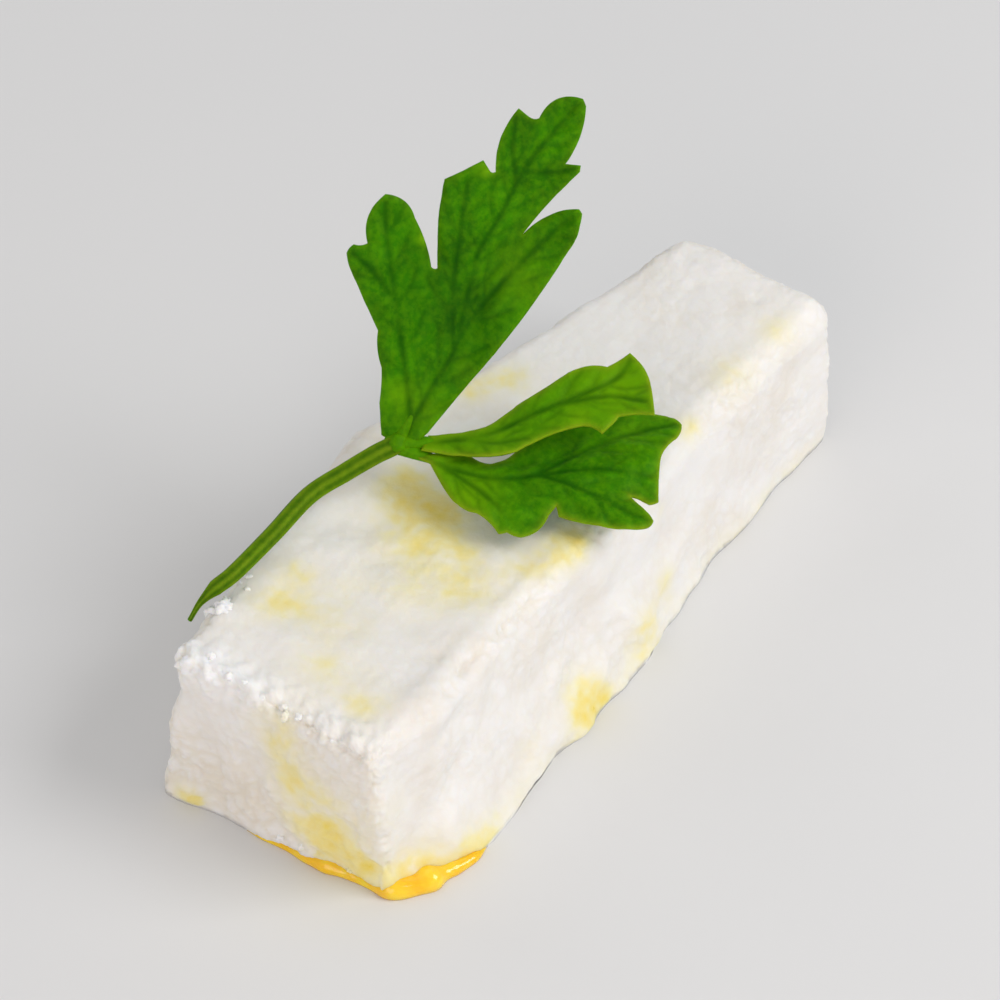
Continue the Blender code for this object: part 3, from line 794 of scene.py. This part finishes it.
def grain(point, normal, edge):
    """Fine relief at a point of the block in metres, how deep in a crease it lies, and how much painted
    highlight it gets.
    """
    spot = Vector(point)
    crumble = crumble_at(spot, normal, edge)
    bend = CREASE_BEND * Vector([noise.noise(spot / CURD_SIZE + shift) for shift in BEND_SHIFTS])
    coarse = crease_at(spot + bend, GRAIN_SIZE)
    fine = crease_at(spot + bend + CRAG_SHIFT, FINE_GRAIN_SIZE)
    crease = min(1.0, crumble * (COARSE_CREASE * coarse + FINE_CREASE * fine))
    out = -crumble * (GRAIN_DEPTH * coarse + FINE_GRAIN_DEPTH * fine)
    out += crumble * ROUGH_DEPTH * noise.fractal(spot / ROUGH_SIZE + CHIP_SHIFT, *ROUGH_FRACTAL)
    out -= crumble * PIT_DEPTH * pit_at(spot)
    out += (1.0 - edge) * knife_mark(spot, normal)
    away = math.hypot(spot.x - RAGGED_X, spot.z - RAGGED_HEIGHT) / RAGGED_REACH
    ragged = math.exp(-away * away)
    out += ragged * RAGGED_DEPTH * noise.fractal(spot / RAGGED_SIZE + CRAG_SHIFT, *RAGGED_FRACTAL)
    # Painted highlight on the ragged crest, less towards the front corner
    painted_highlight = ragged * held((spot.y - HIGHLIGHT_START) / HIGHLIGHT_LENGTH, least=HIGHLIGHT_LEAST)
    return out, crease, painted_highlight


def oil_and_leaf_shadow_at(point, normal, edge):
    """How much oil soaked into the cheese at a point, from 0 to 1; under the parsley it is partly painted
    olive shadow.
    """
    spot = Vector(point)
    total = TOP_FILM * max(0.0, normal[2]) * (1.0 - edge)
    for centre, radius, strength in STAINS_AND_LEAF_SHADOW:
        away = (spot - Vector(centre) * MM).length / (radius * MM)
        total += strength * math.exp(-STAIN_FADE * away * away)
    if normal[1] < FRONT_FACING:
        total += FOOT_FILM * max(0.0, 1.0 - spot.z / FOOT_FILM_HEIGHT)
    broken = STAIN_MIDDLE + STAIN_BREAK * noise.noise(spot / STAIN_BREAK_SIZE)
    broken += STAIN_SPECK * noise.noise(spot / STAIN_SPECK_SIZE)
    return held(total * broken)


def split_faces(faces):
    """Splits four-sided faces into triangles."""
    triangles = []
    for a, b, c, d in faces:
        triangles.append((a, b, c))
        triangles.append((a, c, d))
    return triangles


def make_cheese(material):
    """The cheese block: the part's form in fine steps, with its grain, its oil, and its painted highlight
    and shadow.
    """
    counts = [round(size / BLOCK_CELL) for size in (BLOCK_LENGTH, BLOCK_WIDTH, BLOCK_HEIGHT)]
    grid, faces = box_shell(counts)
    size = np.array([BLOCK_LENGTH, BLOCK_WIDTH, BLOCK_HEIGHT])
    box = grid / counts * size - np.array([BLOCK_LENGTH / 2, BLOCK_WIDTH / 2, 0.0])
    smooth, edge = rounded(box)
    points = drawn_out(smooth)
    normals = vertex_normals(points, faces)
    foot = grid[:, 2] == 0
    for index, point in enumerate(points):
        if foot[index] and edge[index] == 0.0:
            continue
        move = relief(point, edge[index]) * normals[index]
        move[2] *= min(1.0, point[2] / FLAT_FOOT)
        points[index] = point + move
    normals = vertex_normals(points, faces)
    oil = np.zeros(len(points))
    crease = np.zeros(len(points))
    painted_highlight = np.zeros(len(points))
    for index, point in enumerate(points):
        if foot[index]:
            continue
        out, crease[index], painted_highlight[index] = grain(point, normals[index], edge[index])
        # Oil, and under the parsley painted olive shadow
        oil[index] = oil_and_leaf_shadow_at(point, normals[index], edge[index])
        move = out * normals[index]
        move[2] *= min(1.0, point[2] / FLAT_FOOT)
        points[index] = point + move
    points[:, 2] = np.maximum(points[:, 2], 0.0)
    points[foot, 2] = 0.0
    values = {"oil": oil, "crease": crease, "painted_highlight": painted_highlight}
    return add_object("cheese", points, split_faces(faces), material, values)


def smooth_line(points, steps):
    """Points on a smooth curve through the given ones, with steps between each two."""
    ends = [2 * points[0] - points[1]] + list(points) + [2 * points[-1] - points[-2]]
    line = []
    for i in range(1, len(ends) - 2):
        a, b, c, d = ends[i - 1:i + 3]
        for k in range(steps):
            t = k / steps
            line.append(0.5 * (2 * b + (c - a) * t + (2 * a - 5 * b + 4 * c - d) * t ** 2
                               + (3 * b - a - 3 * c + d) * t ** 3))
    line.append(points[-1])
    return line


def stalk_radius(radii, tips, share):
    """Radius at a share of a stalk's length; towards each tip it narrows to a share of itself."""
    radius = between(radii[0], radii[1], share)
    for away, (reach, least, power) in zip((share, 1.0 - share), tips):
        radius *= between(least, 1.0, held(away / reach) ** power)
    return radius


def tube_faces(rings, sides):
    """Outward faces of a closed tube whose points lie ring by ring."""
    faces = []
    for ring in range(rings - 1):
        for k in range(sides):
            here = ring * sides + k
            next_one = ring * sides + (k + 1) % sides
            faces.append((here, next_one, next_one + sides, here + sides))
    last = (rings - 1) * sides
    faces.append(tuple(range(sides))[::-1])
    faces.append(tuple(range(last, last + sides)))
    return faces


def make_stalk(name, line, radii, tips, ridges, paleness, material):
    """A tapering stalk with closed ends; ridges is how far it is ridged, from 0 to 1."""
    points = []
    groove = []
    pale = []
    side = Vector((0.0, 0.0, 1.0))
    for index, centre in enumerate(line):
        before = line[max(index - 1, 0)]
        after = line[min(index + 1, len(line) - 1)]
        way = (after - before).normalized()
        side = (side - side.dot(way) * way).normalized()
        other = way.cross(side)
        share = index / (len(line) - 1)
        radius = stalk_radius(radii, tips, share)
        for k in range(STEM_SIDES):
            angle = 2.0 * math.pi * k / STEM_SIDES
            ridge = math.cos(STEM_RIDGES * angle)
            reach = radius * (1.0 + ridges * RIDGE_SHARE * ridge)
            points.append(centre + reach * (math.cos(angle) * side + math.sin(angle) * other))
            groove.append(ridges * GROOVE_DARKNESS * (0.5 - 0.5 * ridge))
            pale.append(ridges * RIDGE_PALENESS * (0.5 + 0.5 * ridge) + paleness)
    values = {"vein": groove, "pale": pale, "rim": 0.0}
    return add_object(name, points, tube_faces(len(line), STEM_SIDES), material, values)


def leaf_frame(leaf):
    """Directions of a leaflet: along its midrib, across it, and up from its face."""
    heading = math.radians(leaf["heading"])
    climb = math.radians(leaf["climb"])
    roll = math.radians(leaf["roll"])
    level = math.cos(climb)
    along = Vector((level * math.cos(heading), level * math.sin(heading), math.sin(climb)))
    side = along.cross(Vector((0.0, 0.0, 1.0))).normalized()
    across = math.cos(roll) * side + math.sin(roll) * side.cross(along)
    return along, across, across.cross(along)


def leaf_point(leaf, u, v):
    """Place in space of the point u across and v along a leaflet's middle surface."""
    along, across, up = leaf_frame(leaf)
    height = -leaf["droop"] * MM * (v / (leaf["length"] * MM)) ** 2
    height += leaf["fold"] * (math.hypot(u, FOLD_WIDTH) - FOLD_WIDTH)
    swing = math.sin(2.0 * math.pi * v / (leaf["wave"] * MM) + leaf["phase"] + RIPPLE_SLANT * u)
    height += leaf["ripple"] * MM * swing * min(1.0, abs(u) / RIPPLE_START)
    base = Vector(FORK) * MM + Vector((0.0, 0.0, leaf["lift"] * MM))
    return base + u * across + v * along + height * up


def edge_points(outline, step):
    """Points along a leaflet's outline, with each bowed stretch as an even arc."""
    points = []
    for index, (u, v, bow) in enumerate(outline):
        next_u, next_v, _ = outline[(index + 1) % len(outline)]
        start = np.array([u, v]) * MM
        way = np.array([next_u, next_v]) * MM - start
        outward = np.array([way[1], -way[0]])
        count = max(1, round(np.linalg.norm(way) / step))
        for k in range(count):
            t = k / count
            points.append(start + t * way + 4.0 * bow * t * (1.0 - t) * outward)
    return np.array(points)


def inner_points(edge, step):
    """A lattice of points that covers a leaflet, clear of its edge."""
    low = edge.min(axis=0)
    high = edge.max(axis=0)
    rise = step * math.sqrt(3.0) / 2.0
    points = []
    for row in range(int((high[1] - low[1]) / rise) + 1):
        shift = step / 2.0 if row % 2 else 0.0
        for column in range(int((high[0] - low[0]) / step) + 1):
            point = np.array([low[0] + shift + column * step, low[1] + row * rise])
            if np.linalg.norm(edge - point, axis=1).min() > LEAF_MARGIN * step:
                points.append(point)
    return points


def leaf_triangles(outline, step):
    """Flat triangles that fill a leaflet's outline."""
    edge = edge_points(outline, step)
    inner = inner_points(edge_points(outline, step / EDGE_FINENESS), step)
    flat = [Vector(point) for point in list(edge) + inner]
    loop = list(range(len(edge)))
    corners, _, triangles, _, _, _ = delaunay_2d_cdt(flat, [], [loop], KEEP_INSIDE, SAME_PLACE)
    used = sorted({index for triangle in triangles for index in triangle})
    place = {old: new for new, old in enumerate(used)}
    return [corners[old] for old in used], [tuple(place[i] for i in triangle) for triangle in triangles]


def turned(way, angle):
    """A direction in the flat turned by an angle."""
    return np.array([way[0] * math.cos(angle) - way[1] * math.sin(angle),
                     way[0] * math.sin(angle) + way[1] * math.cos(angle)])


def vein_segments(leaf):
    """Straight pieces of a leaflet's veins: both ends and the order, from midrib to twig."""
    segments = []
    for line in leaf["veins"]:
        curve = smooth_line([np.array(point) * MM for point in line], VEIN_STEPS)
        for start, end in zip(curve, curve[1:]):
            segments.append((start, end, MAIN_VEIN))
        gone = 0.0
        side = 1.0
        for start, end in zip(curve, curve[1:]):
            gone += np.linalg.norm(end - start)
            if gone < SIDE_VEIN_GAP / 2.0:
                continue
            gone = 0.0
            side = -side
            way = (end - start) / np.linalg.norm(end - start)
            branch = turned(way, side * SIDE_VEIN_ANGLE)
            middle = end + 0.5 * SIDE_VEIN_LENGTH * branch
            tip = middle + 0.5 * SIDE_VEIN_LENGTH * turned(branch, -side * SIDE_VEIN_BEND)
            segments.append((end, middle, SIDE_VEIN))
            segments.append((middle, tip, SIDE_VEIN))
            for share, turn in zip(TWIG_PLACES, (TWIG_ANGLE, -TWIG_ANGLE)):
                root = end + share * SIDE_VEIN_LENGTH * branch
                segments.append((root, root + TWIG_LENGTH * turned(branch, side * turn), TWIG))
    return segments


def vein_fields(leaf, flat):
    """At each flat point: how much of a vein it is, and how far the nearest main or side vein is."""
    veins = np.zeros(len(flat))
    nearest = np.full(len(flat), 1.0)
    for start, end, order in vein_segments(leaf):
        way = end - start
        share = np.clip(((flat - start) @ way) / (way @ way), 0.0, 1.0)
        away = np.linalg.norm(flat - start - share[:, None] * way, axis=1)
        veins = np.maximum(veins, VEIN_DEPTHS[order] * np.exp(-(away / VEIN_WIDTHS[order]) ** 2))
        if order != TWIG:
            nearest = np.minimum(nearest, away)
    for index, (u, v) in enumerate(flat.tolist()):
        place = Vector((u, v, leaf["phase"])) / VEIN_FADE_SIZE
        veins[index] *= held(VEIN_SHOWING + VEIN_FADE * noise.noise(place))
    return veins, nearest


def spot_field(spots, flat):
    """Sum of soft round spots at each flat point of a leaflet."""
    total = np.zeros(len(flat))
    for u, v, radius, strength in spots:
        away = np.linalg.norm(flat - np.array([u, v]) * MM, axis=1) / (radius * MM)
        total += strength * np.exp(-away * away)
    return total


def make_leaflet(name, leaf, material):
    """One leaflet: a thin wavy sheet, puffed up between its sunken veins, thin at its rim."""
    corners, triangles = leaf_triangles(leaf["outline"], LEAF_STEP)
    flat = np.array([tuple(corner) for corner in corners])
    veins, nearest = vein_fields(leaf, flat)
    pale = np.clip(leaf["pale"] + spot_field(leaf["spots"], flat), 0.0, 1.0)
    deep = np.clip(veins + spot_field(leaf["shades"], flat), 0.0, 1.0)
    edge = edge_points(leaf["outline"], LEAF_STEP / EDGE_FINENESS)
    rim = np.array([math.exp(-np.linalg.norm(edge - point, axis=1).min() / RIM_WIDTH) for point in flat])
    puff = PUFF_HEIGHT * (1.0 - np.exp(-(nearest / PUFF_WIDTH) ** 2)) * (1.0 - rim)
    top = []
    bottom = []
    for index, (u, v) in enumerate(flat.tolist()):
        centre = leaf_point(leaf, u, v)
        slope_u = leaf_point(leaf, u + SLOPE_STEP, v) - centre
        slope_v = leaf_point(leaf, u, v + SLOPE_STEP) - centre
        up = slope_u.cross(slope_v).normalized()
        wrinkle = WRINKLE_DEPTH * noise.fractal(centre / WRINKLE_SIZE, *WRINKLE_FRACTAL)
        half = LEAF_THICKNESS / 2.0 * (1.0 - RIM_THINNING * rim[index])
        lift = puff[index] + wrinkle - VEIN_SINK * veins[index]
        top.append(centre + up * float(lift + half))
        bottom.append(centre + up * float(lift - half))
    count = len(flat)
    faces = list(triangles)
    sides = set()
    for a, b, c in triangles:
        faces.append((c + count, b + count, a + count))
        sides.update(((a, b), (b, c), (c, a)))
    for a, b in sorted(sides):
        if (b, a) not in sides:
            faces.append((a, a + count, b + count))
            faces.append((a, b + count, b))
    values = {"vein": np.tile(deep, 2), "pale": np.tile(pale, 2), "rim": np.tile(leaf["rim"] * rim, 2)}
    return add_object(name, top + bottom, faces, material, values)


def round_blob(detail):
    """Points and faces of a small ball of radius 1."""
    shape = bmesh.new()
    bmesh.ops.create_icosphere(shape, subdivisions=detail, radius=1.0)
    points = [vertex.co.copy() for vertex in shape.verts]
    faces = [tuple(vertex.index for vertex in face.verts) for face in shape.faces]
    shape.free()
    return points, faces


def make_knot(material):
    """The thick green knot in which stem and leaflets meet."""
    ball, faces = round_blob(KNOT_DETAIL)
    points = []
    for point in ball:
        rough = 1.0 + KNOT_ROUGHNESS * noise.noise(point * KNOT_LUMPS)
        points.append((Vector(KNOT_PLACE) + point * Vector(KNOT_SIZE) * rough) * MM)
    values = {"vein": 0.0, "pale": KNOT_PALENESS, "rim": 0.0}
    return add_object("parsley_knot", points, faces, material, values)


def make_parsley(stem_material, leaf_material):
    """The sprig: its stem, and each leaflet with the rib that carries it."""
    line = smooth_line([Vector(point) * MM for point in STEM_LINE], STEM_STEPS)
    stem = make_stalk("parsley_stem", line, STEM_RADII, STEM_TIPS, 1.0, STEM_PALENESS, stem_material)
    dress(stem, "parsley_sprig")
    dress(make_knot(leaf_material), "parsley_sprig")
    for number, leaf in enumerate(LEAFLETS):
        leaflet = make_leaflet(f"parsley_leaf_{number}", leaf, leaf_material)
        dress(leaflet, "parsley_sprig")
        under = leaf_frame(leaf)[2] * RIB_DROP
        rib_line = []
        for k in range(RIB_STEPS + 1):
            share = k / RIB_STEPS
            rib_line.append(leaf_point(leaf, 0.0, share * RIB_LENGTH) - share * under)
        rib = make_stalk(f"parsley_rib_{number}", rib_line, RIB_RADII, RIB_TIPS, 0.0, KNOT_PALENESS,
                         leaf_material)
        dress(rib, "parsley_sprig")


def make_oil_bead(material):
    """The bead of oil that stands along the foot of the broad end and round its corner."""
    line = smooth_line([np.array([*place, half]) * MM for place, half in OIL_BEAD], BEAD_STEPS)
    points = []
    for index, (x, y, half) in enumerate(line):
        before = line[max(index - 1, 0)]
        after = line[min(index + 1, len(line) - 1)]
        way = (after - before)[:2]
        side = np.array([way[1], -way[0]]) / np.linalg.norm(way)
        wobble = 1.0 + BEAD_WOBBLE * noise.noise(Vector((x, y, 0.0)) / BEAD_WOBBLE_SIZE)
        for k in range(BEAD_SIDES):
            angle = 2.0 * math.pi * k / BEAD_SIDES
            reach = half * wobble * math.cos(angle)
            height = max(0.0, half * wobble * BEAD_HEIGHT * (BEAD_RISE + math.sin(angle)))
            points.append((x + side[0] * reach, y + side[1] * reach, height))
    # Its rings run the other way round than a stalk's, so each face is turned over
    faces = [(first, *rest[::-1]) for first, *rest in tube_faces(len(line), BEAD_SIDES)]
    return add_object("oil_bead", points, faces, material)


def surface_finder(piece):
    """A finder of the piece's nearest point."""
    finder = kdtree.KDTree(len(piece.data.vertices))
    for vertex in piece.data.vertices:
        finder.insert(vertex.co, vertex.index)
    finder.balance()
    return finder


def make_crumbs(cheese, finder, material):
    """Loose curds, ragged and half sunk, on the crests and round the foot."""
    draw = random.Random(CRUMB_SEED)
    ball, ball_faces = round_blob(CRUMB_DETAIL)
    stained = cheese.data.attributes["oil"].data
    points = []
    faces = []
    oil = []
    for centre, half, count, largest in CRUMB_ZONES:
        for _ in range(count):
            aim = Vector([c + h * draw.uniform(-1.0, 1.0) for c, h in zip(centre, half)]) * MM
            spot, index, _ = finder.find(aim)
            radius = between(CRUMB_SMALLEST, largest, draw.random() ** CRUMB_RARITY) * MM
            spot = spot - CRUMB_SINK * radius * cheese.data.vertices[index].normal
            stretch = Vector([draw.uniform(*CRUMB_STRETCH) for _ in range(3)])
            shift = Vector([draw.uniform(0.0, CRUMB_VARIETY) for _ in range(3)])
            start = len(points)
            for point in ball:
                lump = noise.noise(point * CRUMB_LUMPS + shift)
                crag = noise.noise(point * CRUMB_CRAGS + shift)
                rough = 1.0 + CRUMB_LUMP_DEPTH * lump + CRUMB_CRAG_DEPTH * crag
                points.append(spot + point * stretch * rough * radius)
                oil.append(stained[index].value)
            faces += [tuple(i + start for i in face) for face in ball_faces]
    points = [(point.x, point.y, max(point.z, 0.0)) for point in points]
    # The crumbs get part of the painted highlight, to lighten their shaded sides
    values = {"oil": oil, "crease": 0.0, "painted_highlight": CRUMB_HIGHLIGHT}
    return add_object("crumbs", points, faces, material, values)


def add_floor():
    """A plain pale floor that the block lies on."""
    half = FLOOR_SIZE / 2.0
    corners = [(-half, -half, 0.0), (half, -half, 0.0), (half, half, 0.0), (-half, half, 0.0)]
    floor = add_object("floor", corners, [(0, 1, 2, 3)], floor_material())


def aim_at(thing, target):
    """Turns a camera or a light to look at a point."""
    thing.rotation_mode = "QUATERNION"
    thing.rotation_quaternion = (target - thing.location).to_track_quat("-Z", "Y")


def add_lights():
    """Soft studio light: a key from the front, a warm fill, and weak front and back lights."""
    world = bpy.data.worlds.new("World")
    world.use_nodes = True
    background = world.node_tree.nodes["Background"]
    background.inputs["Color"].default_value = WORLD_COLOUR
    background.inputs["Strength"].default_value = WORLD_STRENGTH
    bpy.context.scene.world = world
    for name, way, distance, size, power, colour in LIGHTS:
        light = bpy.data.lights.new(name, "AREA")
        light.size = size
        light.energy = power
        light.color = colour
        lamp = bpy.data.objects.new(name, light)
        lamp.location = Vector(way).normalized() * distance
        aim_at(lamp, Vector((0.0, 0.0, BLOCK_HEIGHT)))
        bpy.context.scene.collection.objects.link(lamp)


def add_camera():
    """The camera of the photograph."""
    data = bpy.data.cameras.new("camera")
    data.sensor_width = SENSOR
    data.lens = SENSOR * CAMERA_DISTANCE / FRAME_WIDTH
    data.clip_start = CLIP_START
    camera = bpy.data.objects.new("camera", data)
    camera.location = Vector(CAMERA_PLACE) * MM
    aim_at(camera, Vector(CAMERA_AIM) * MM)
    bpy.context.scene.collection.objects.link(camera)
    bpy.context.scene.camera = camera


def main():
    """Camera, light and floor, then the cheese with its crumbs and oil, and the parsley."""
    bpy.context.scene.view_settings.view_transform = "Standard"
    add_camera()
    add_lights()
    add_floor()
    cheese = make_cheese(cheese_material("Cheese looks", CHEESE_GLOW_DEPTH))
    dress(cheese, "cheese_block")
    crumb_looks = cheese_material("Crumb looks", CRUMB_GLOW_DEPTH)
    dress(make_crumbs(cheese, surface_finder(cheese), crumb_looks))
    dress(make_oil_bead(oil_material()))
    make_parsley(parsley_material("Stem looks", *STEM_GREENS), parsley_material("Leaf looks", *LEAF_GREENS))


main()
